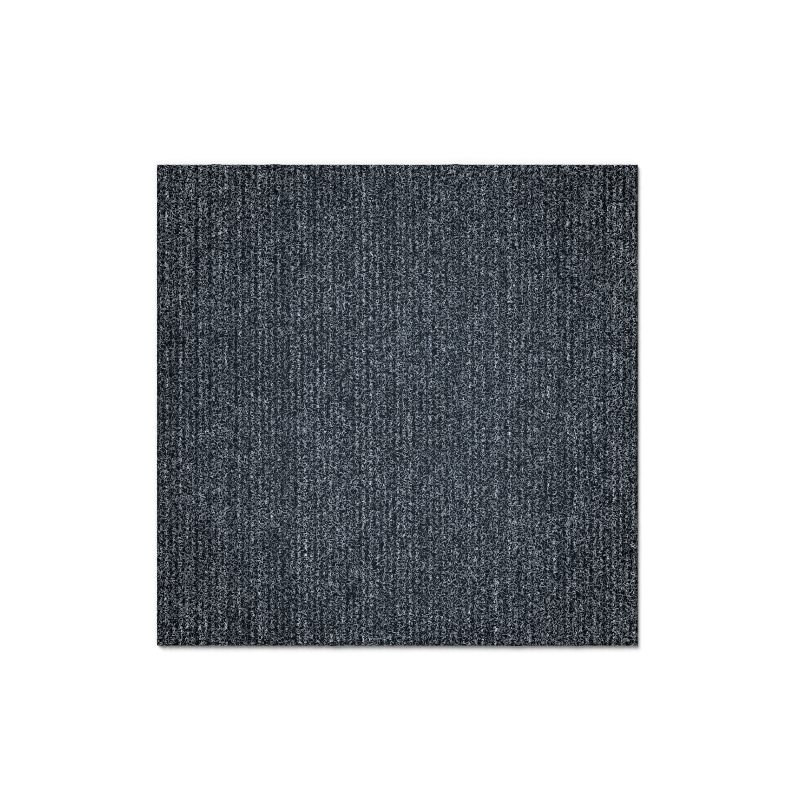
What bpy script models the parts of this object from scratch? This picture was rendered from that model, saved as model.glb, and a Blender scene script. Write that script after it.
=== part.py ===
"""A ribbed carpet tile: a needle-punched textile face bonded to a rubber backing.

The origin is the middle of the underside. X runs across the ribs, Y along them, and Z is up.
Both layers are made as a continuous web and die-cut to the tile, so each one here is its
cross-section in X and Z, run along Y over the length of the tile.
"""

import math

import bmesh
import bpy

# The tile as it is cut, in metres
TILE_WIDTH = 0.4572
TILE_LENGTH = 0.4572

# The backing sheet, and the line of adhesive between it and the textile
BACKING_THICKNESS = 0.0020
BOND_LINE = 0.0003

# The textile: a flat felt that carries ribs with a flat-bottomed groove between them
FELT_THICKNESS = 0.0019
RIB_PITCH = 0.00625
RIB_HEIGHT = 0.0018
GROOVE_WIDTH = 0.0010

# How round a rib's crown is: straight steps over its half ellipse
CROWN_STEPS = 8
SHARP_EDGE = math.radians(50)

# Linear colours
HEATHER_GREY = (0.051, 0.063, 0.076, 1.0)
RUBBER_BLACK = (0.016, 0.016, 0.018, 1.0)


def clear_scene():
    for obj in list(bpy.data.objects):
        bpy.data.objects.remove(obj, do_unlink=True)


def matt_finish(name, colour, roughness):
    material = bpy.data.materials.new(name)
    material.use_nodes = True
    shader = material.node_tree.nodes["Principled BSDF"]
    shader.inputs["Base Color"].default_value = colour
    shader.inputs["Roughness"].default_value = roughness
    shader.inputs["Metallic"].default_value = 0.0
    return material


def backing_section():
    """The backing's corners as (x, z), from its own underside at z = 0."""
    half = TILE_WIDTH / 2
    return [(-half, 0.0), (half, 0.0), (half, BACKING_THICKNESS), (-half, BACKING_THICKNESS)]


def rib_crown(centre):
    """One rib's crown as (x, z), from its right foot to its left: the upper half of an ellipse."""
    half = (RIB_PITCH - GROOVE_WIDTH) / 2
    turns = [math.pi * step / CROWN_STEPS for step in range(CROWN_STEPS + 1)]
    return [(centre + half * math.cos(a), FELT_THICKNESS + RIB_HEIGHT * math.sin(a)) for a in turns]


def textile_section():
    """The textile's outline as (x, z), from its own underside at z = 0.

    As many whole ribs as the tile's width holds lie centred on it, so that the cuts at the
    left and the right fall in the grooves.
    """
    half = TILE_WIDTH / 2
    ribs = math.floor(TILE_WIDTH / RIB_PITCH)
    first = (ribs - 1) * RIB_PITCH / 2
    outline = [(-half, 0.0), (half, 0.0), (half, FELT_THICKNESS)]
    for rib in range(ribs):
        outline += rib_crown(first - rib * RIB_PITCH)
    outline.append((-half, FELT_THICKNESS))
    return outline


def run_along_y(name, section, height, material, parent):
    """One layer: its section at the tile's near cut, extruded to the far cut."""
    shape = bmesh.new()
    near = [shape.verts.new((x, -TILE_LENGTH / 2, z)) for x, z in section]
    cap = shape.faces.new(near)
    swept = bmesh.ops.extrude_face_region(shape, geom=[cap], use_keep_orig=True)
    far = [item for item in swept["geom"] if isinstance(item, bmesh.types.BMVert)]
    bmesh.ops.translate(shape, verts=far, vec=(0.0, TILE_LENGTH, 0.0))
    bmesh.ops.recalc_face_normals(shape, faces=shape.faces)
    mesh = bpy.data.meshes.new(name)
    shape.to_mesh(mesh)
    shape.free()
    mesh.shade_smooth()
    mesh.set_sharp_from_angle(angle=SHARP_EDGE)
    mesh.materials.append(material)
    layer = bpy.data.objects.new(name, mesh)
    layer.location.z = height
    layer.parent = parent
    bpy.context.scene.collection.objects.link(layer)


def main():
    clear_scene()
    tile = bpy.data.objects.new("carpet_tile", None)
    bpy.context.scene.collection.objects.link(tile)
    rubber = matt_finish("rubber_backing", RUBBER_BLACK, 0.85)
    heather = matt_finish("heather_textile", HEATHER_GREY, 0.95)
    run_along_y("backing", backing_section(), 0.0, rubber, tile)
    run_along_y("pile_face", textile_section(), BACKING_THICKNESS + BOND_LINE, heather, tile)


main()
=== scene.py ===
"""A ribbed needle-punched carpet tile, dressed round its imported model.

The tile lies face up. X runs across its ribs, Y along them and Z up, in metres. The file follows
the tile as it is made: the rubber sheet, the felt raised into ribs on it, the loops of fibre that
the needles leave on the ribs, the stray ends round the cut, and then the studio.
"""

import math

import bpy
import numpy as np
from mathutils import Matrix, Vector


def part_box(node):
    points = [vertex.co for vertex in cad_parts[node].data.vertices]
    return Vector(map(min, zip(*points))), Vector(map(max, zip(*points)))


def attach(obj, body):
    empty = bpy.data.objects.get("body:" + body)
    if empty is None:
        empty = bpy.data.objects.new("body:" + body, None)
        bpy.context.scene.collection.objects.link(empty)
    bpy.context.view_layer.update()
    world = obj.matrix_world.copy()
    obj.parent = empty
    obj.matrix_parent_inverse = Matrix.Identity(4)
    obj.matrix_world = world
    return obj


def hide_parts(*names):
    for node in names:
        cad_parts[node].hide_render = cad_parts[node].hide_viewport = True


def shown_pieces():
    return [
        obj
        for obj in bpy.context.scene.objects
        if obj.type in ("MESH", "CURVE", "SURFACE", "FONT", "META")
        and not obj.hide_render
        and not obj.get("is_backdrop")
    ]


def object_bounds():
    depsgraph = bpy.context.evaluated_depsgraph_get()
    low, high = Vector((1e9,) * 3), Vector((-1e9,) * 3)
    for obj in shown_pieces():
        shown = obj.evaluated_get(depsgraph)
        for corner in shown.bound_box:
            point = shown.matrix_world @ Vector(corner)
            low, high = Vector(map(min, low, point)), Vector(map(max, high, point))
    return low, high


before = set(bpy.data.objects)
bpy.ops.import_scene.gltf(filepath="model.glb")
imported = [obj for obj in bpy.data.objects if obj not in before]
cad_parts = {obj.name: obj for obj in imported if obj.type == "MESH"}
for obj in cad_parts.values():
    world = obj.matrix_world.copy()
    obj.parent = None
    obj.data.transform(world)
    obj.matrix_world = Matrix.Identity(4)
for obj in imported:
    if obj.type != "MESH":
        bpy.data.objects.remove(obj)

cad_low, cad_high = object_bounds()


# The rubber backing
# A flat calendered sheet of black rubber, glued to the whole underside of the felt and cut with
# it by one stroke of the die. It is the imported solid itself, which gets a rubber finish here.

RUBBER_BLACK = (0.011, 0.011, 0.012, 1.0)
RUBBER_BLOOM = (0.034, 0.034, 0.035, 1.0)
RUBBER_ROUGHNESS = 0.82
RUBBER_SHINE = 0.3

# The cells to a metre of the rubber's patches of bloom, its grain and its pebbles, how deep the
# pebbles are, and where the dust of bloom starts to show and shows fully
BLOOM_CELLS = 28.0
GRAIN_CELLS = 900.0
PEBBLE_CELLS = 620.0
PEBBLE_DEPTH = 0.00015
DUST_RANGE = (0.16, 0.42)


def new_material(name, roughness, shine):
    """A Principled material, with its node tree and its shader."""
    material = bpy.data.materials.new(name)
    material.use_nodes = True
    shader = material.node_tree.nodes["Principled BSDF"]
    shader.inputs["Roughness"].default_value = roughness
    shader.inputs["Specular IOR Level"].default_value = shine
    return material, material.node_tree, shader


def add_node(tree, kind, **values):
    """One node of a tree. Each value is for the property of that name, or else the socket."""
    node = tree.nodes.new(kind)
    for name, value in values.items():
        if hasattr(node, name):
            setattr(node, name, value)
        else:
            node.inputs[name].default_value = value
    return node


def feed(tree, socket, value):
    """Gives a socket its value: another node's socket, or a plain number."""
    if isinstance(value, bpy.types.NodeSocket):
        tree.links.new(value, socket)
    else:
        socket.default_value = value


def combine(tree, operation, first, second=0.0):
    """A Math node on two values, each a socket or a number."""
    node = add_node(tree, "ShaderNodeMath", operation=operation)
    feed(tree, node.inputs[0], first)
    feed(tree, node.inputs[1], second)
    return node.outputs["Value"]


def add_noise(tree, place, **values):
    """A noise from 0 to 1, read at a place."""
    noise = add_node(tree, "ShaderNodeTexNoise", **values)
    tree.links.new(place, noise.inputs["Vector"])
    return noise.outputs["Fac"]


def grade(tree, value, stops):
    """A Color Ramp that turns a value into a colour, from stops of (place, colour)."""
    ramp = add_node(tree, "ShaderNodeValToRGB")
    elements = ramp.color_ramp.elements
    while len(elements) < len(stops):
        elements.new(1.0)
    for element, (place, colour) in zip(elements, stops):
        element.position = place
        element.color = colour
    tree.links.new(value, ramp.inputs["Fac"])
    return ramp.outputs["Color"]


def raise_bump(tree, shader, height, distance, strength=1.0):
    """A bump on the shader's normal, from a height of 0 to 1 that stands for a distance."""
    bump = add_node(tree, "ShaderNodeBump", Strength=strength, Distance=distance)
    tree.links.new(height, bump.inputs["Height"])
    tree.links.new(bump.outputs["Normal"], shader.inputs["Normal"])


def rubber_finish():
    """Matt rubber: fine pebbles from the calender's cloth, and a faint grey bloom."""
    material, tree, shader = new_material("rubber_backing", RUBBER_ROUGHNESS, RUBBER_SHINE)
    place = add_node(tree, "ShaderNodeTexCoord").outputs["Object"]
    bloom = add_noise(tree, place, Scale=BLOOM_CELLS, Detail=6.0, Roughness=0.6)
    grain = add_noise(tree, place, Scale=GRAIN_CELLS, Detail=3.0, Roughness=0.6)
    pebbles = add_node(tree, "ShaderNodeTexVoronoi", Scale=PEBBLE_CELLS)
    tree.links.new(place, pebbles.inputs["Vector"])
    dust_low, dust_high = DUST_RANGE
    dust = combine(tree, "MULTIPLY", bloom, grain)
    colour = grade(tree, dust, ((dust_low, RUBBER_BLACK), (dust_high, RUBBER_BLOOM)))
    tree.links.new(colour, shader.inputs["Base Color"])
    relief = combine(tree, "SUBTRACT", grain, pebbles.outputs["Distance"])
    raise_bump(tree, shader, relief, PEBBLE_DEPTH)
    return material


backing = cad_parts["backing"]
backing.data.materials.clear()
backing.data.materials.append(rubber_finish())
backing_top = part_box("backing")[1].z


# The ribbed felt
# Heather polypropylene fibre, needled into a dense felt whose upper side a second needling has
# raised into round ribs. It is one web: the knife cuts it in the grooves at the left and right
# and across the ribs at the two ends, where it wanders a little.

RIB_PITCH = 0.00625
GROOVE_WIDTH = 0.0012
GROOVE_FLOOR = 0.0040
CROWN_TOP = 0.0057

# How far a rib strays: by an offset of its own, by a drift along it, and by a sway that many
# neighbours share. The last two have a length in Y, and a step is how far the noise goes from
# one rib to the next. Over the last few ribs at each cut side the straying fades out.
RIB_OFFSET = 0.0003
RIB_WANDER = 0.0003
WANDER_LENGTH = 0.046
WANDER_STEP = 0.7
RIB_SWAY = 0.0007
SWAY_LENGTH = 0.3
SWAY_STEP = 0.11
STEADY_RIBS = 3

# How far a crown rises and falls along its rib, in a long and a short wave, and their shares
CROWN_UNEVEN = 0.00025
CROWN_WAVES = (0.011, 0.0043)
CROWN_WAVE_SHARES = (0.6, 0.4)
CROWN_STEP = 0.9

# The band in X where the needles were worn and left fibre in the grooves, and how deep that lies
WORN_PLACE = 0.095
WORN_REACH = 0.095
WORN_FILL = 0.0010

# Where the die pressed the felt down beside the left and the right cut: from the cut to where it
# is flat, and on to where a rib has its full height
PRESSED_FLAT = 0.0010
PRESSED_SLOPE = 0.0020

# Where the knife swung out at the far and the near end: the middle of each swing in X, its half
# width, how far out it went, and how quickly that fades inwards from the end
FAR_SWINGS = (-0.173, -0.116, 0.055)
NEAR_SWINGS = (-0.059, 0.112, 0.169)
SWING_WIDTH = 0.0095
SWING_OUT = 0.00055
SWING_FADE = 12

# The grid: places across one rib, rows along it, and steps down the cut sides, which puff out a
# little, with the puff's steps in the noise along the rim and down the side
ACROSS_RIB = 8
ROWS = 104
SIDE_STEPS = 3
SIDE_FUZZ = 0.00015
FUZZ_ALONG = 0.4
FUZZ_DOWN = 5.0

# A point of the rim lies on a cut from this share of the tile's half width or half length
ON_THE_CUT = 0.999

# How far the map of a piece stays inside its picture, how far the felt's sides lie outside its
# top there, and the small corner of the picture that the bottom gets, which nobody sees
MAP_EDGE = 0.03
MAP_SIDE = 0.02
MAP_HIDDEN = MAP_EDGE / 8

felt_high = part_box("pile_face")[1]
half_width = felt_high.x
half_length = felt_high.y
half_rib = (RIB_PITCH - GROOVE_WIDTH) / 2
rib_count = math.floor(2 * half_width / RIB_PITCH)
first_rib = -(rib_count - 1) * RIB_PITCH / 2

# The angles in radians for a step across, a step along and a step of salt, and the sine's size,
# large and uneven, so that the fraction of the sine is as good as a random number
SCATTER_ANGLES = (127.1, 311.7, 74.7)
SCATTER_SIZE = 43758.5453


def scatter(cells, salt):
    """A number from 0 to 1 for each whole number pair, from the fraction of a large sine."""
    across, along = cells
    by_across, by_along, by_salt = SCATTER_ANGLES
    mixed = np.sin(across * by_across + along * by_along + salt * by_salt) * SCATTER_SIZE
    return mixed - np.floor(mixed)


def drift(across, along, salt):
    """Smooth noise from -1 to 1: the four scatter values round a point, eased between them.

    The ease is three times a share's square, less twice its cube. Each use has a salt of its
    own, so that no two of them are alike.
    """
    low_across, low_along = np.floor(across), np.floor(along)
    share_across = across - low_across
    share_along = along - low_along
    ease_across = share_across**2 * (3 - 2 * share_across)
    ease_along = share_along**2 * (3 - 2 * share_along)
    corner = [
        [scatter((low_across + i, low_along + j), salt) for j in (0, 1)] for i in (0, 1)
    ]
    near = corner[0][0] + (corner[0][1] - corner[0][0]) * ease_along
    far = corner[1][0] + (corner[1][1] - corner[1][0]) * ease_along
    return 2 * (near + (far - near) * ease_across) - 1


def nearest_rib(x):
    """The number of the rib that x falls in, counted from 0 at the left: its rounded place."""
    return np.clip(np.round((x - first_rib) / RIB_PITCH), 0, rib_count - 1)


def rib_centre(rib, y):
    """A rib's middle in X: its place in the row, and how far it strays.

    It strays by an offset of its own, by a slow drift along it, and by a sway that many
    neighbours share. At the two cut sides the last rib keeps its place.
    """
    own = RIB_OFFSET * drift(rib * WANDER_STEP, 0 * y, salt=6)
    own = own + RIB_WANDER * drift(rib * WANDER_STEP, y / WANDER_LENGTH, salt=1)
    sway = RIB_SWAY * drift(rib * SWAY_STEP, y / SWAY_LENGTH, salt=10)
    ease = np.clip(np.minimum(rib, rib_count - 1 - rib) / STEADY_RIBS, 0, 1)
    return first_rib + rib * RIB_PITCH + ease * (own + sway)


def worn_share(x):
    """How worn the needles were at x: a raised cosine, 1 in the middle of the worn band."""
    return 0.5 + 0.5 * np.cos(np.pi * np.clip(np.abs(x - WORN_PLACE) / WORN_REACH, 0, 1))


def pressed_share(x):
    """How much of a rib's height the die left at x: 0 beside the two cuts, rising evenly to 1."""
    return np.clip((half_width - np.abs(x) - PRESSED_FLAT) / PRESSED_SLOPE, 0, 1)


def crown_height(rib, offset, y):
    """The felt's height at an offset from a rib's middle: half an ellipse on the groove floor.

    The crown's top rises and falls along the rib with two drifts of different length, and the
    floor is raised by the fibre that worn needles left. The die pressed the outermost flanks.
    """
    bow = np.sqrt(np.clip(1 - (offset / half_rib) ** 2, 0, 1))
    long_wave = drift(rib * CROWN_STEP, y / CROWN_WAVES[0], salt=2)
    short_wave = drift(rib * CROWN_STEP, y / CROWN_WAVES[1], salt=3)
    uneven = CROWN_WAVE_SHARES[0] * long_wave + CROWN_WAVE_SHARES[1] * short_wave
    middle = first_rib + rib * RIB_PITCH
    floor = GROOVE_FLOOR + WORN_FILL * worn_share(middle)
    bow = bow * pressed_share(middle + offset)
    return floor + (CROWN_TOP - floor + CROWN_UNEVEN * uneven) * bow


def felt_height(x, y):
    """The felt's height at any place: the crown of the rib that the place falls in."""
    rib = nearest_rib(x)
    return crown_height(rib, x - rib_centre(rib, y), y)


def knife_swing(x, swings):
    """How far out the knife went at x: a raised cosine round the middle of each swing."""
    away = np.abs(x[..., None] - np.array(swings)) / SWING_WIDTH
    return SWING_OUT * (0.5 + 0.5 * np.cos(np.pi * np.clip(away, 0, 1))).max(axis=-1)


def cut_end(x, y):
    """y as the knife left it: y plus the swing times a high power of y's share of the half length.

    So the ends move out by the whole swing, and nothing far from them moves.
    """
    swing = np.where(y > 0, knife_swing(x, FAR_SWINGS), knife_swing(x, NEAR_SWINGS))
    return y + np.sign(y) * swing * np.abs(y / half_length) ** SWING_FADE


def new_piece(name, points, quads, triangles, corner_places, material):
    """A mesh object at the origin from arrays, with one place on its map for each corner."""
    mesh = bpy.data.meshes.new(name)
    mesh.vertices.add(len(points))
    mesh.vertices.foreach_set("co", np.asarray(points, np.float32).ravel())
    corners = np.concatenate((quads.ravel(), triangles.ravel())).astype(np.int32)
    mesh.loops.add(len(corners))
    mesh.loops.foreach_set("vertex_index", corners)
    quad_starts = np.arange(len(quads)) * 4
    triangle_starts = quads.size + np.arange(len(triangles)) * 3
    starts = np.concatenate((quad_starts, triangle_starts)).astype(np.int32)
    mesh.polygons.add(len(starts))
    mesh.polygons.foreach_set("loop_start", starts)
    mesh.update(calc_edges=True)
    skin = mesh.uv_layers.new(name="OFBake")
    skin.uv.foreach_set("vector", np.asarray(corner_places, np.float32).ravel())
    mesh.shade_smooth()
    mesh.materials.append(material)
    piece = bpy.data.objects.new(name, mesh)
    bpy.context.scene.collection.objects.link(piece)
    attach(piece, "root")
    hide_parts("pile_face")
    return piece


def felt_top():
    """The felt's upper side as a grid of points, columns by rows by XYZ.

    The columns stand at equal shares of each rib and stray with it, apart from those at the two
    cut sides, and the rows at equal shares of the tile's length. Each point has the felt's height.
    """
    columns = rib_count * ACROSS_RIB + 1
    x = first_rib + (np.arange(columns) / ACROSS_RIB - 0.5) * RIB_PITCH
    x = np.concatenate(([-half_width], x, [half_width]))
    y = np.linspace(-half_length, half_length, ROWS)
    x, y = np.meshgrid(x, y, indexing="ij")
    inside = np.abs(x) < half_width - RIB_PITCH / 4
    rib = nearest_rib(x)
    wander = rib_centre(rib, y) - first_rib - rib * RIB_PITCH
    spot = x + np.where(inside, wander, 0)
    return np.stack((spot, cut_end(spot, y), felt_height(spot, y)), axis=-1)


def felt_shell():
    """The felt as one closed shell: points, quads, triangles and each corner's map place.

    From the rim of the top a ring of points goes down the cut sides in even steps, puffed out by
    a drift, and a fan to the middle closes the bottom. On the map a point of the top lies at its
    share of the width and length, and a point of the sides outside that, by its share of the way
    down.
    """
    top = felt_top()
    wide, deep = top.shape[:2]
    order = np.arange(wide * deep).reshape(wide, deep)
    quads = [
        np.stack((order[:-1, :-1], order[1:, :-1], order[1:, 1:], order[:-1, 1:]), axis=-1)
    ]
    rim = np.concatenate((order[:, 0], order[-1, 1:], order[-2::-1, -1], order[0, -2:0:-1]))
    rim_points = top.reshape(-1, 3)[rim]
    outward = rim_points[:, :2] / (half_width, half_length)
    outward = np.sign(outward) * (np.abs(outward) > ON_THE_CUT)
    share = (np.arange(1, SIDE_STEPS + 1) / SIDE_STEPS)[:, None]
    ring_order = np.arange(len(rim))
    puff = SIDE_FUZZ * drift(ring_order[None] * FUZZ_ALONG, share * FUZZ_DOWN, salt=4) * (share < 1)
    side = np.empty((SIDE_STEPS, len(rim), 3))
    side[..., :2] = rim_points[None, :, :2] + puff[..., None] * outward[None]
    side[..., 2] = rim_points[None, :, 2] * (1 - share) + backing_top * share
    ring = wide * deep + np.arange(SIDE_STEPS * len(rim)).reshape(SIDE_STEPS, -1)
    rings = np.concatenate((rim[None], ring))
    ahead = np.roll(rings, -1, axis=1)
    quads.append(np.stack((rings[:-1], rings[1:], ahead[1:], ahead[:-1]), axis=-1))
    middle = wide * deep + ring.size
    fan = np.stack((ring[-1], np.full(len(rim), middle), np.roll(ring[-1], -1)), axis=-1)
    points = np.concatenate((top.reshape(-1, 3), side.reshape(-1, 3), [(0, 0, backing_top)]))
    flat = points[:, :2] / (2 * half_width, 2 * half_length)
    drop = np.concatenate((np.zeros(wide * deep), np.repeat(share.ravel(), len(rim)), [0]))
    push = np.zeros_like(flat)
    push[wide * deep : middle] = np.tile(outward, (SIDE_STEPS, 1))
    place = 0.5 + flat * (1 - 2 * MAP_EDGE) + push * drop[:, None] * MAP_SIDE
    hidden = MAP_HIDDEN + (flat + 0.5) * MAP_HIDDEN
    quads = np.concatenate([part.reshape(-1, 4) for part in quads])
    places = np.concatenate((place[quads.ravel()], hidden[fan.ravel()]))
    return points, quads, fan, places


# The felt's finish: the fibre's colours and how they follow a shade from 0, black, to 1, palest
FIBRE_BLACK = (0.0001, 0.0005, 0.0014, 1.0)
FIBRE_INK = (0.001, 0.0018, 0.0032, 1.0)
FIBRE_SLATE = (0.083, 0.102, 0.124, 1.0)
FIBRE_PALE = (0.184, 0.210, 0.241, 1.0)
FIBRE_ICE = (0.440, 0.477, 0.528, 1.0)
FELT_STOPS = (
    (0.06, FIBRE_BLACK),
    (0.14, FIBRE_INK),
    (0.36, FIBRE_SLATE),
    (0.68, FIBRE_PALE),
    (1.0, FIBRE_ICE),
)
FELT_SHINE = 0.15

# The roughness of the black fibre and of the pale, and the shades between which it changes
DULL = 1.0
SATIN = 0.6
SATIN_RANGE = (0.1, 0.4)

# The strokes drawn on the felt: how many noise cells to a metre in X, Y and Z on its top and on
# its cut faces, how much of the noise's height a stroke takes to each side of its contour, and
# how much the noise is bent
STROKE_CELLS = (520.0, 400.0, 520.0)
LAYER_CELLS = (480.0, 480.0, 3200.0)
STROKE_HALF_WIDTH = 0.085
STROKE_BEND = 0.6

# The tone of the strokes: the cells to a metre of the noise that it follows, the part of that
# noise's height that is used, and the tone at its two ends
TONE_CELLS = 640.0
TONE_RANGE = (0.33, 0.67)
TONES = (0.36, 1.1)

# How much lighter or darker one rib is than the next, all along it, the part of a noise's height
# that this follows, and that noise's cells to a rib
RIB_DIFFERENCE = 0.26
RIB_DIFFERENCE_RANGE = (0.3, 0.7)
RIB_DIFFERENCE_CELLS = 0.9

# Painted shade in the grooves: how bright the strokes stay on a groove's floor, where it is open
# and where fibre bridges it, the power of their fall from the crown, and how bright they are on
# the cut faces
GROOVE_OPEN = 0.3
GROOVE_BRIDGED = 0.85
GROOVE_FALL = 2.2
CUT_FACE = 0.62

# The length of a bridged stretch of groove and its noise's cells to a rib, the size of an area
# that has more of them, how much that area counts, and the part of their sum that is used
STRETCH = 0.024
STRETCH_CELLS = 0.8
ZONE = 0.075
ZONE_SEED = 2.0
ZONE_WEIGHT = 0.5
BRIDGE_RANGE = (0.6, 1.0)

# The fuzz of single fibres: its cells to a metre, and how much it lightens and darkens
FUZZ_CELLS = 1500.0
FUZZ_TONE = 0.08
FIBRE_RELIEF = 0.0005

# The black precoat at the foot of the felt: where it starts to fade over the rubber, and ends
PRECOAT_BLACK = (0.007, 0.008, 0.009, 1.0)
PRECOAT_RANGE = (0.0002, 0.0007)

# Where the mask of the cut faces starts and ends, out from the edge of the top on the map
MASK_RANGE = (0.001, 0.003)


def spread(tree, value, ends, onto=(0.0, 1.0), **kind):
    """A value taken from between two ends onto two others, and held there past them."""
    node = add_node(tree, "ShaderNodeMapRange", **kind)
    names = ("Value", "From Min", "From Max", "To Min", "To Max")
    for name, given in zip(names, (value, *ends, *onto)):
        feed(tree, node.inputs[name], given)
    return node.outputs["Result"]


def split(tree, vector):
    """The X, Y and Z of a vector, by their names."""
    node = add_node(tree, "ShaderNodeSeparateXYZ")
    tree.links.new(vector, node.inputs["Vector"])
    return node.outputs


def stretch(tree, place, cells):
    """A place multiplied by a number of cells to a metre in X, Y and Z."""
    node = add_node(tree, "ShaderNodeVectorMath", operation="MULTIPLY")
    node.inputs[1].default_value = cells
    tree.links.new(place, node.inputs[0])
    return node.outputs["Vector"]


def dull_the_dark(tree, shader, shade):
    """Roughness from a shade of 0 to 1: the black fibre is duller than the pale."""
    roughness = spread(tree, shade, SATIN_RANGE, (DULL, SATIN))
    tree.links.new(roughness, shader.inputs["Roughness"])


def blend_values(tree, share, first, second):
    """The first value where the share is 0, and the second, a socket or a number, where it is 1."""
    mix = add_node(tree, "ShaderNodeMix", data_type="FLOAT")
    for place, value in ((0, share), (2, first), (3, second)):
        feed(tree, mix.inputs[place], value)
    return mix.outputs[0]


def draw_strokes(tree, place, cells):
    """Thin bent strokes, 1 on a stroke and 0 off it: the contour lines of smooth noise.

    The noise has this many cells to a metre in X, Y and Z, so it is stretched where there are
    fewer. A stroke is where its height is close to a half.
    """
    scaled = stretch(tree, place, cells)
    curls = add_noise(tree, scaled, Scale=1.0, Detail=0.0, Distortion=STROKE_BEND)
    contour = combine(tree, "ABSOLUTE", combine(tree, "SUBTRACT", curls, 0.5))
    ends = (STROKE_HALF_WIDTH, STROKE_HALF_WIDTH / 3)
    return spread(tree, contour, ends, interpolation_type="SMOOTHSTEP")


def cut_face_share(tree):
    """1 on the cut faces, which the map sets outside the top, and 0 on the top."""
    skin = add_node(tree, "ShaderNodeUVMap", uv_map="OFBake")
    spot = split(tree, skin.outputs["UV"])
    across, along = [
        combine(tree, "ABSOLUTE", combine(tree, "SUBTRACT", spot[axis], 0.5)) for axis in ("X", "Y")
    ]
    edge = 0.5 - MAP_EDGE
    ends = (edge + MASK_RANGE[0], edge + MASK_RANGE[1])
    return spread(tree, combine(tree, "MAXIMUM", across, along), ends)


def groove_shade_limit(tree, place):
    """How bright the painted groove shade leaves a groove's floor: more where fibre bridges it.

    It follows the sum of a noise that is long along the grooves and a share of a wide noise.
    """
    stretches = stretch(tree, place, (STRETCH_CELLS / RIB_PITCH, 1 / STRETCH, 0.0))
    bridges = add_noise(tree, stretches, Scale=1.0, Detail=1.0, Roughness=0.5)
    zones = add_noise(
        tree, place, noise_dimensions="4D", W=ZONE_SEED, Scale=1 / ZONE, Detail=0.0
    )
    wide = combine(tree, "MULTIPLY", zones, ZONE_WEIGHT)
    crossed = combine(tree, "ADD", bridges, wide)
    return spread(tree, crossed, BRIDGE_RANGE, (GROOVE_OPEN, GROOVE_BRIDGED))


def rib_brightness(tree, x):
    """How bright a rib is, all along it: a noise in X alone, about as wide as a rib."""
    cells = RIB_DIFFERENCE_CELLS / RIB_PITCH
    needles = add_node(tree, "ShaderNodeTexNoise", noise_dimensions="1D", Scale=cells)
    tree.links.new(x, needles.inputs["W"])
    onto = (1 - RIB_DIFFERENCE, 1 + RIB_DIFFERENCE)
    return spread(tree, needles.outputs["Fac"], RIB_DIFFERENCE_RANGE, onto)


def felt_finish():
    """Needled fibre from close to: short curled strokes in several greys over a black ground.

    On the top the strokes lie mostly along the ribs, and they fade towards the groove floor with
    a power of the height, which is painted shade in the grooves. On the cut faces they lie level,
    down to the black precoat.
    """
    material, tree, shader = new_material("heather_felt", DULL, FELT_SHINE)
    place = add_node(tree, "ShaderNodeTexCoord").outputs["Object"]
    parts = split(tree, place)
    cut_face = cut_face_share(tree)
    on_top = draw_strokes(tree, place, STROKE_CELLS)
    strokes = blend_values(tree, cut_face, on_top, draw_strokes(tree, place, LAYER_CELLS))
    spun = add_noise(tree, place, Scale=TONE_CELLS, Detail=1.0, Roughness=0.6)
    lit = combine(tree, "MULTIPLY", strokes, spread(tree, spun, TONE_RANGE, TONES))
    # Painted shade: the strokes darken with a power of the height towards the groove floor
    climb = spread(tree, parts["Z"], (GROOVE_FLOOR, CROWN_TOP))
    climb = combine(tree, "POWER", climb, GROOVE_FALL)
    rise = spread(tree, climb, (0.0, 1.0), (groove_shade_limit(tree, place), 1.0))
    shade = combine(tree, "MULTIPLY", lit, blend_values(tree, cut_face, rise, CUT_FACE))
    shade = combine(tree, "MULTIPLY", shade, rib_brightness(tree, parts["X"]))
    fuzz = add_noise(
        tree, place, Scale=FUZZ_CELLS, Detail=2.0, Roughness=0.7, Distortion=1.2
    )
    hair = combine(tree, "MULTIPLY", fuzz, 2 * FUZZ_TONE)
    shade = combine(tree, "ADD", shade, combine(tree, "SUBTRACT", hair, FUZZ_TONE))
    dull_the_dark(tree, shader, shade)
    coat_ends = (backing_top + PRECOAT_RANGE[0], backing_top + PRECOAT_RANGE[1])
    coat = add_node(tree, "ShaderNodeMix", data_type="RGBA")
    coat.inputs[6].default_value = PRECOAT_BLACK
    tree.links.new(spread(tree, parts["Z"], coat_ends), coat.inputs[0])
    tree.links.new(grade(tree, shade, FELT_STOPS), coat.inputs[7])
    tree.links.new(coat.outputs[2], shader.inputs["Base Color"])
    raise_bump(tree, shader, combine(tree, "ADD", lit, fuzz), FIBRE_RELIEF)
    return material


new_piece("felt_ribs", *felt_shell(), felt_finish())


# The loops on the ribs
# The forked needles of the second pass push bundles of fibre up through the felt, and leave them
# as small curled loops along every rib: pale, slate and black fibres side by side, which give the
# heather. They are made in bands of ribs, each one mesh of many short tubes whose ends are buried.

BANDS = 5
LOOP_SEED = 7
LOOP_SIDES = 3
LOOP_HALF_THICK = (0.00021, 0.00033)
LOOP_SINK = 0.00035
LOOP_RISE = 0.00030
LOOP_RISE_SHARES = (0.4, 1.0)
LOOP_RADIUS_AT_END = 0.55

# The shades that the loops are spun in: a column of the map for each, and how a draw from 0 to 1
# becomes a shade, which sets how much of the pile is black, slate or pale
SHADES = 64
SHADE_DRAWS = (0.0, 0.14, 0.3, 0.62, 0.9, 1.0)
SHADE_VALUES = (0.0, 0.2, 0.55, 0.76, 0.94, 1.0)

# How much the shade drifts in stretches along a rib, from rib to rib, by every third rib and by
# tufts, and how much darker it is where the needles were worn, and where the die pressed the felt
# down beside the cut, which is painted shade of that low strip
SHADE_DRIFT = 0.16
SHADE_BY_RIB = 0.12
SHADE_BY_THIRD = 0.04
SHADE_TUFT = 0.12
SHADE_WORN = 0.17
SHADE_PRESSED = 0.6
TUFT = (0.0042, 0.0054)

# The steps in the noise from rib to rib of the stretches and of the ribs' own shades
STRETCH_STEP = 0.8
RIB_SHADE_STEP = 0.9
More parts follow.
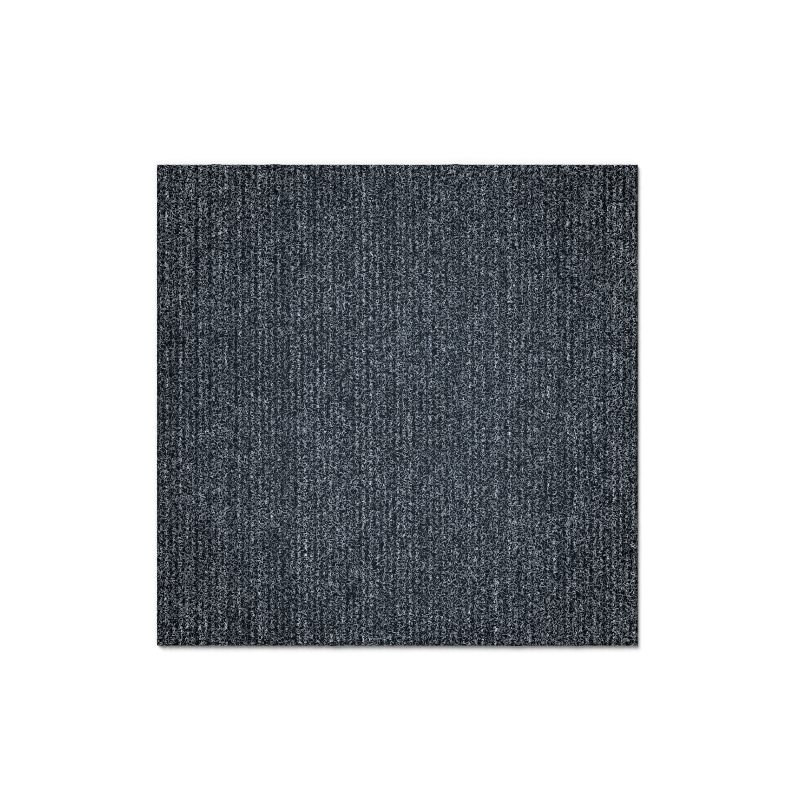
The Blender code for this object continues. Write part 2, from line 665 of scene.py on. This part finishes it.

# Painted shade towards the grooves: how fast the power that draws more strands black grows
# towards a groove, how much that differs from zone to zone, and how much of it is there where the
# needles weren't worn, which the worn share is taken from
GROOVE_SHADE_POWER = 0.5
ZONE_SHADE_SPREAD = 0.4
UNWORN_SHADE = 1.2

# Each kind of loop: how many on a rib, steps along it, length, turn in degrees and turn's spread,
# its direction from X in degrees and the spread of that, and how near to and far from the rib's
# middle it may lie, in shares of the rib's half width. A bridge lies over a groove.
LOOP_KINDS = {
    "arch": dict(per_rib=190, steps=4, length=(0.0034, 0.0058), turn=130, turn_spread=45,
                 heading=0, heading_spread=28, reach=(0.0, 0.7)),
    "curl": dict(per_rib=60, steps=7, length=(0.0042, 0.0066), turn=285, turn_spread=45,
                 heading=0, heading_spread=180, reach=(0.0, 0.8)),
    "wisp": dict(per_rib=140, steps=4, length=(0.0022, 0.0040), turn=0, turn_spread=60,
                 heading=90, heading_spread=45, reach=(0.0, 1.1)),
    "bridge": dict(per_rib=100, steps=4, length=(0.0024, 0.0040), turn=0, turn_spread=60,
                   heading=0, heading_spread=65, reach=(1.05, 1.25)),
}

# The corners of a tube's first end cap on its map, as shares of the way along and round the tube
CAP_SHARES = ((0.0, 0.0), (0.06, 0.5), (0.0, 1.0))

# How far a shade's column stays clear of the next one, and of the map's lower and upper edge
COLUMN_MARGIN = 0.1
MAP_MARGIN = 0.02


def loop_paths(
    random, ribs, per_rib, steps, length, turn, turn_spread, heading, heading_spread, reach
):
    """The middle lines of one kind of loop on these ribs, as an array of paths by steps by XYZ.

    Seen from above a path is a stroke that turns steadily, one way in the far half of the tile
    and the other way in the near half: its heading is the middle heading plus the turn times its
    share of the way less a half, and its places are the running sum of equal steps along the
    heading. It is then set down on the felt's height there, or for a bridge on the straight line
    between the heights at its two ends. The lift over that is a half sine along the way, less a
    sink that grows with the square of the share from the middle, so that both ends are buried.
    """
    count = len(ribs) * per_rib
    rib = np.repeat(ribs, per_rib)
    order = np.tile(np.arange(per_rib), len(ribs))
    y = ((order + random.uniform(0, 1, count)) / per_rib * 2 - 1) * half_length
    offset = random.uniform(*reach, count) * random.choice((-1, 1), count)
    offset *= half_rib
    leans = np.where(y > 0, -1, 1)
    turns = np.radians(turn + turn_spread * random.standard_normal(count)) * leans
    middle = np.radians(heading + heading_spread * random.uniform(-1, 1, count))
    share = np.linspace(0, 1, steps)
    bearing = middle[:, None] + turns[:, None] * (share - 0.5)
    step = (random.uniform(*length, count) / (steps - 1))[:, None]
    way = np.stack((np.cos(bearing), np.sin(bearing)), axis=-1)
    way = 0.5 * (way[:, 1:] + way[:, :-1]) * step[..., None]
    flat = np.concatenate((np.zeros((count, 1, 2)), np.cumsum(way, axis=1)), axis=1)
    flat -= flat.mean(axis=1, keepdims=True)
    flat[..., 0] += (rib_centre(rib, y) + offset)[:, None]
    flat[..., 1] += y[:, None]
    rim = half_length - LOOP_HALF_THICK[0]
    flat[..., 1] = np.clip(flat[..., 1], -rim, rim)
    flat[..., 0] = np.clip(flat[..., 0], -half_width, half_width)
    rise = LOOP_RISE * random.uniform(*LOOP_RISE_SHARES, count)[:, None]
    lift = rise * np.sin(np.pi * share)
    sink = LOOP_SINK * (2 * share - 1) ** 2
    floor = felt_height(flat[..., 0], flat[..., 1])
    is_bridge = reach[0] > 1
    if is_bridge:
        floor = floor[:, :1] + (floor[:, -1:] - floor[:, :1]) * share
    height = floor + lift - sink
    return np.concatenate((flat, height[..., None]), axis=-1)


def carry_ring(paths, radii):
    """Small closed three-sided tubes: points, quads, triangles and their (along, round) shares.

    A ring of corners is carried along each path. A corner is the path's point, plus the radius
    times the cosine of its angle along the side vector, plus the radius times its sine along the
    vector square to both. A flat cap closes each end.
    """
    count, steps, _ = paths.shape
    sides = LOOP_SIDES
    along = np.gradient(paths, axis=1)
    along /= np.linalg.norm(along, axis=-1, keepdims=True)
    side = np.cross(along, (0, 0, 1))
    side /= np.linalg.norm(side, axis=-1, keepdims=True)
    lift = np.cross(side, along)
    angle = math.pi / 2 + 2 * math.pi * np.arange(sides) / sides
    ring = np.cos(angle)[:, None] * side[:, :, None] + np.sin(angle)[:, None] * lift[:, :, None]
    points = paths[:, :, None] + radii[:, :, None, None] * ring
    order = np.arange(count * steps * sides).reshape(count, steps, sides)
    ahead = np.roll(order, -1, axis=2)
    quads = np.stack((order[:, :-1], order[:, 1:], ahead[:, 1:], ahead[:, :-1]), axis=-1)
    start, end = order[:, 0], order[:, -1, ::-1]
    triangles = np.stack((start, end), axis=1)
    way = np.broadcast_to(np.linspace(0, 1, steps)[:, None], (steps, sides))
    turn = np.broadcast_to(np.arange(sides) / sides, (steps, sides))
    spots = np.stack((way[:-1], way[1:], way[1:], way[:-1]), axis=-1)
    turns = np.stack((turn[:-1], turn[:-1], turn[1:] + 1 / sides, turn[1:] + 1 / sides), axis=-1)
    quad_shares = np.broadcast_to(np.stack((spots, turns), axis=-1), (*quads.shape, 2))
    cap = np.array(CAP_SHARES)
    caps = np.stack((cap, (1.0, 1.0) - cap))
    cap_shares = np.broadcast_to(caps, (*triangles.shape, 2))
    return points.reshape(-1, 3), quads, triangles, quad_shares, cap_shares


def shade_places(shares, shades):
    """Map places from (along, round) shares.

    The share round a tube goes across the column of its shade, and the share along it goes up
    the column.
    """
    column = np.floor(shades * (SHADES - 1) + 0.5).reshape(-1, *([1] * (shares.ndim - 2)))
    across = (column + COLUMN_MARGIN + (1 - 2 * COLUMN_MARGIN) * shares[..., 1]) / SHADES
    return np.stack((across, MAP_MARGIN + (1 - 2 * MAP_MARGIN) * shares[..., 0]), axis=-1)


def strand_arrays(batches):
    """The arrays of one mesh from batches of (paths, radii, shades)."""
    points, quads, caps, quad_places, cap_places = [], [], [], [], []
    total = 0
    for paths, radii, shades in batches:
        tube_points, tube_quads, tube_caps, quad_shares, cap_shares = carry_ring(paths, radii)
        points.append(tube_points)
        quads.append(tube_quads.reshape(-1, 4) + total)
        caps.append(tube_caps.reshape(-1, 3) + total)
        quad_places.append(shade_places(quad_shares, shades).reshape(-1, 2))
        cap_places.append(shade_places(cap_shares, shades).reshape(-1, 2))
        total += len(tube_points)
    places = np.concatenate(quad_places + cap_places)
    return np.concatenate(points), np.concatenate(quads), np.concatenate(caps), places


def draw_shades(random, places):
    """A shade from 0, black, to 1, palest, for each strand.

    An even draw is raised to a power that grows with the square of the way from the rib's middle
    to the groove, so that more of the strands there are black, as painted shade in the groove, but
    less so in the worn band. Drifts are added to it: along each rib, from rib to rib, for every
    third rib, and for small tufts. Where the needles were worn the shade is darker, and where the
    die pressed the felt down it is darker as painted shade of that low strip.
    """
    x, y = places.T
    rib = nearest_rib(x)
    aside = np.abs(x - rib_centre(rib, y)) / (RIB_PITCH / 2)
    by_zone = 1 + ZONE_SHADE_SPREAD * drift(x / ZONE, y / ZONE, salt=11)
    shade_toward_groove = GROOVE_SHADE_POWER * by_zone * (UNWORN_SHADE - worn_share(x))
    # Painted shade towards the grooves: more of the strands there are drawn black
    draws = random.uniform(0, 1, len(places)) ** (1 + shade_toward_groove * aside**2)
    shades = np.interp(draws, SHADE_DRAWS, SHADE_VALUES)
    shades += SHADE_DRIFT * drift(rib * STRETCH_STEP, y / STRETCH, salt=5)
    shades += SHADE_BY_RIB * drift(rib * RIB_SHADE_STEP, 0 * y, salt=8)
    shades += SHADE_BY_THIRD * np.cos(2 * np.pi * rib / 3)
    shades += SHADE_TUFT * drift(x / TUFT[0], y / TUFT[1], salt=9)
    # Darker in the worn band, and painted shade on the strip that the die pressed low beside the
    # cut
    shades -= SHADE_WORN * worn_share(x) + SHADE_PRESSED * (1 - pressed_share(x))
    return np.clip(shades, 0, 1)


def loop_batch(random, ribs, kind):
    """One kind of loop on these ribs: its paths, its radius at each step, and its shades.

    The radius grows from each end to the middle with a half sine.
    """
    paths = loop_paths(random, ribs, **kind)
    share = np.linspace(0, 1, kind["steps"])
    taper = LOOP_RADIUS_AT_END + (1 - LOOP_RADIUS_AT_END) * np.sin(np.pi * share)
    radii = random.uniform(*LOOP_HALF_THICK, len(paths))[:, None] * taper
    return paths, radii, draw_shades(random, paths[:, 0, :2])


# The finish of the loops: their colours by shade, and the streaks along them, with the noise's
# cells round a loop, along it, and from one shade to the next
LOOP_STOPS = (
    (0.04, FIBRE_BLACK),
    (0.14, FIBRE_INK),
    (0.38, FIBRE_SLATE),
    (0.7, FIBRE_PALE),
    (1.0, FIBRE_ICE),
)
LOOP_SHINE = 0.6
STREAKS_ROUND = 6.0
STREAKS_ALONG = 2.5
STREAKS_APART = 3.7
STREAK_TONE = 0.35
STREAK_RELIEF = 0.0001
STREAK_RELIEF_SHARE = 0.6

# Painted shade on each loop: how much darker it gets with the share of its length from its
# middle, towards its buried ends, and with the share of a turn from its top, on its lower side
BURIED_END_SHADE = 0.25
UNDERSIDE_SHADE = 0.25


def heather_finish():
    """The spun fibre: each column of the map is one shade, with fine streaks along it.

    A loop is darker towards its buried ends and on its lower side: painted shade.
    """
    material, tree, shader = new_material("heather_loops", DULL, LOOP_SHINE)
    skin = add_node(tree, "ShaderNodeUVMap", uv_map="OFBake")
    parts = split(tree, skin.outputs["UV"])
    column = combine(tree, "MULTIPLY", parts["X"], float(SHADES))
    number = combine(tree, "FLOOR", column)
    round_share = combine(tree, "FRACT", column)
    spot = add_node(tree, "ShaderNodeCombineXYZ")
    feed(tree, spot.inputs["X"], combine(tree, "MULTIPLY", round_share, STREAKS_ROUND))
    feed(tree, spot.inputs["Y"], combine(tree, "MULTIPLY", parts["Y"], STREAKS_ALONG))
    feed(tree, spot.inputs["Z"], combine(tree, "MULTIPLY", number, STREAKS_APART))
    streaks = add_noise(tree, spot.outputs["Vector"], Scale=1.0, Detail=2.0, Roughness=0.6)
    shade = combine(tree, "DIVIDE", number, float(SHADES - 1))
    mottle = combine(tree, "SUBTRACT", streaks, 0.5)
    shade = combine(tree, "ADD", shade, combine(tree, "MULTIPLY", mottle, STREAK_TONE))
    # Painted shade: darker towards the buried ends and on the lower side of the tube
    end = combine(tree, "ABSOLUTE", combine(tree, "SUBTRACT", parts["Y"], 0.5))
    shade = combine(tree, "SUBTRACT", shade, combine(tree, "MULTIPLY", end, BURIED_END_SHADE))
    under = combine(tree, "PINGPONG", round_share, 0.5)
    shade = combine(tree, "SUBTRACT", shade, combine(tree, "MULTIPLY", under, UNDERSIDE_SHADE))
    tree.links.new(grade(tree, shade, LOOP_STOPS), shader.inputs["Base Color"])
    dull_the_dark(tree, shader, shade)
    raise_bump(tree, shader, streaks, STREAK_RELIEF, STREAK_RELIEF_SHARE)
    return material


heather = heather_finish()
random = np.random.default_rng(LOOP_SEED)
for band, ribs in enumerate(np.array_split(np.arange(rib_count), BANDS)):
    batches = [loop_batch(random, ribs, kind) for kind in LOOP_KINDS.values()]
    new_piece(f"rib_loops_{band + 1}", *strand_arrays(batches), heather)


# The stray ends round the cut
# Where the knife went through the ribs and grooves it left cut fibres over the whole face of the
# cut, and a few spring out over the backing's edge. They are thin tubes, rooted in the felt.

STRAYS_PER_SIDE = 860
STRAY_STEPS = 4
STRAY_LENGTH = (0.0012, 0.0036)
STRAY_HALF_THICK = 0.00012
STRAY_TIP = 0.6

# Where the strays lie: the share of a side that they cover, how much of their length runs along
# the cut, how deep in the felt they start, and how far out of it they lean, with the shares drawn
STRAY_SPAN = 0.996
STRAY_ALONG = 0.7
STRAY_ROOT = 0.0004
STRAY_OUT = 0.0007
STRAY_OUT_SHARES = (0.1, 1.0)

# How far under the felt's surface they start, how far in from the cut that surface is read, how
# far they fall or climb, and how high over the rubber they stay
STRAY_DEPTH = (0.0001, 0.0028)
STRAY_INSET = 0.0002
STRAY_CLIMB = (-0.0006, 0.0012)
STRAY_CLEARANCE = 0.0004


def stray_paths(random, along_x, outer):
    """Cut fibres on one side: each starts in the felt and runs along the cut while it leans out.

    The way along is the share times the length, the way out is the share squared times the
    reach, and the rise is the share times a small climb or fall from a depth under the surface.
    """
    count = STRAYS_PER_SIDE
    half = half_width if along_x else half_length
    run = random.uniform(-half * STRAY_SPAN, half * STRAY_SPAN, count)[:, None]
    share = np.linspace(0, 1, STRAY_STEPS)
    length = (random.uniform(*STRAY_LENGTH, count) * random.choice((-1, 1), count))[:, None]
    reach = random.uniform(*STRAY_OUT_SHARES, count)[:, None] * STRAY_OUT
    edge = half_length if along_x else half_width
    along = run + share * length * STRAY_ALONG
    out = outer * (edge - STRAY_ROOT + STRAY_ROOT * share + reach * share**2)
    x, y = (along, out) if along_x else (out, along)
    inner = np.clip(np.stack((x, y)), -edge + STRAY_INSET, edge - STRAY_INSET)
    level = felt_height(inner[0], inner[1]) - random.uniform(*STRAY_DEPTH, count)[:, None]
    height = level[:, :1] + share * random.uniform(*STRAY_CLIMB, count)[:, None]
    return np.stack((x, y, np.maximum(height, backing_top + STRAY_CLEARANCE)), axis=-1)


def stray_batch(random, along_x, outer):
    """The stray fibres of one side, evenly thinner towards the tip."""
    paths = stray_paths(random, along_x, outer)
    radii = STRAY_HALF_THICK * np.linspace(1.0, STRAY_TIP, STRAY_STEPS)
    radii = np.broadcast_to(radii, paths.shape[:2])
    return paths, radii, draw_shades(random, paths[:, 0, :2])


sides = [(along_x, outer) for along_x in (True, False) for outer in (-1, 1)]
batches = [stray_batch(random, *side) for side in sides]
new_piece("stray_ends", *strand_arrays(batches), heather)


# The studio
# A white floor that runs out of sight, a large soft sun from the upper left, a white surround,
# and an elliptical soft box with a grid close over the tile. The sun and the surround give the
# matt light and the soft box the gloss, which it gives to the tile alone.

FLOOR_HALF = 30.0
FLOOR_WHITE = (0.63, 0.63, 0.63, 1.0)
FLOOR_ROUGHNESS = 0.9
SURROUND_WHITE = (1.0, 1.0, 1.0, 1.0)
SURROUND = 0.6

# The sun's place, which only marks it, its strength, and in degrees its tilt from straight up,
# its azimuth from X and its width across
KEY_PLACE = (-1.0, 1.0, 1.5)
KEY_STRENGTH = 4.5
KEY_TILT = 44.0
KEY_AZIMUTH = 127.0
KEY_WIDTH = 34.0

# The soft box's height, its size in X and Y, its grid's angle in degrees, and its power in watts
SOFT_BOX_HEIGHT = 0.30
SOFT_BOX_SIZE = (0.38, 0.42)
SOFT_BOX_GRID = 50.0
SOFT_BOX_POWER = 1.65
SOFT_BOX_COLOUR = (0.70, 1.0, 1.36)

# The camera: the side of the square that it sees at the tile's top, the middle of that square,
# its lens and sensor in millimetres, how far it sees, and the width of a pixel's filter
PHOTO_SIDE = 0.7602
VIEW_CENTRE = (0.0025, 0.0049)
LENS = 85.0
SENSOR = 36.0
SIGHT = 100.0
PIXEL_BLUR = 0.8


def white_floor():
    """A plain level floor under the tile."""
    mesh = bpy.data.meshes.new("floor")
    reach = FLOOR_HALF
    corners = [(-reach, -reach, 0), (reach, -reach, 0), (reach, reach, 0), (-reach, reach, 0)]
    mesh.from_pydata(corners, [], [(0, 1, 2, 3)])
    material, _, shader = new_material("studio_white", FLOOR_ROUGHNESS, 0.0)
    shader.inputs["Base Color"].default_value = FLOOR_WHITE
    mesh.materials.append(material)
    floor = bpy.data.objects.new("floor", mesh)
    bpy.context.scene.collection.objects.link(floor)
    floor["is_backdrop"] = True


def white_surround():
    """A white world, dimmer as a light than as the camera sees it."""
    world = bpy.data.worlds.new("surround")
    world.use_nodes = True
    tree = world.node_tree
    seen = add_node(tree, "ShaderNodeLightPath")
    level = spread(tree, seen.outputs["Is Camera Ray"], (0.0, 1.0), (SURROUND, 1.0))
    background = tree.nodes["Background"]
    tree.links.new(level, background.inputs["Strength"])
    background.inputs["Color"].default_value = SURROUND_WHITE
    world.cycles_visibility.glossy = False
    bpy.context.scene.world = world


def add_light(name, kind, place, turn):
    """A light of one kind at a place, turned by three angles in degrees."""
    light = bpy.data.lights.new(name, kind)
    holder = bpy.data.objects.new(name, light)
    holder.location = place
    holder.rotation_euler = [math.radians(angle) for angle in turn]
    bpy.context.scene.collection.objects.link(holder)
    return holder


white_floor()
white_surround()
key = add_light("key_light", "SUN", KEY_PLACE, (KEY_TILT, 0.0, KEY_AZIMUTH + 90.0))
key.data.energy = KEY_STRENGTH
key.data.angle = math.radians(KEY_WIDTH)
key.visible_glossy = False
soft_box = add_light("soft_box", "AREA", (0.0, 0.0, SOFT_BOX_HEIGHT), (0.0, 0.0, 0.0))
soft_box.data.shape = "ELLIPSE"
soft_box.data.size, soft_box.data.size_y = SOFT_BOX_SIZE
soft_box.data.energy = SOFT_BOX_POWER
soft_box.data.spread = math.radians(SOFT_BOX_GRID)
soft_box.data.color = SOFT_BOX_COLOUR
soft_box.visible_camera = False
soft_box.visible_diffuse = False
lit_pieces = bpy.data.collections.new("lit_by_soft_box")
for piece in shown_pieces():
    lit_pieces.objects.link(piece)
soft_box.light_linking.receiver_collection = lit_pieces

camera_data = bpy.data.cameras.new("camera")
camera_data.lens = LENS
camera_data.sensor_width = SENSOR
camera_data.clip_end = SIGHT
camera = bpy.data.objects.new("camera", camera_data)
camera.location = (*VIEW_CENTRE, cad_high.z + PHOTO_SIDE * LENS / SENSOR)
bpy.context.scene.collection.objects.link(camera)
bpy.context.scene.camera = camera
bpy.context.scene.view_settings.view_transform = "Standard"

# The pile is as fine as the pixels, so the denoiser's guides stay as they are, and a pixel's
# filter is narrow
bpy.context.scene.cycles.denoising_prefilter = "NONE"
bpy.context.scene.cycles.filter_width = PIXEL_BLUR
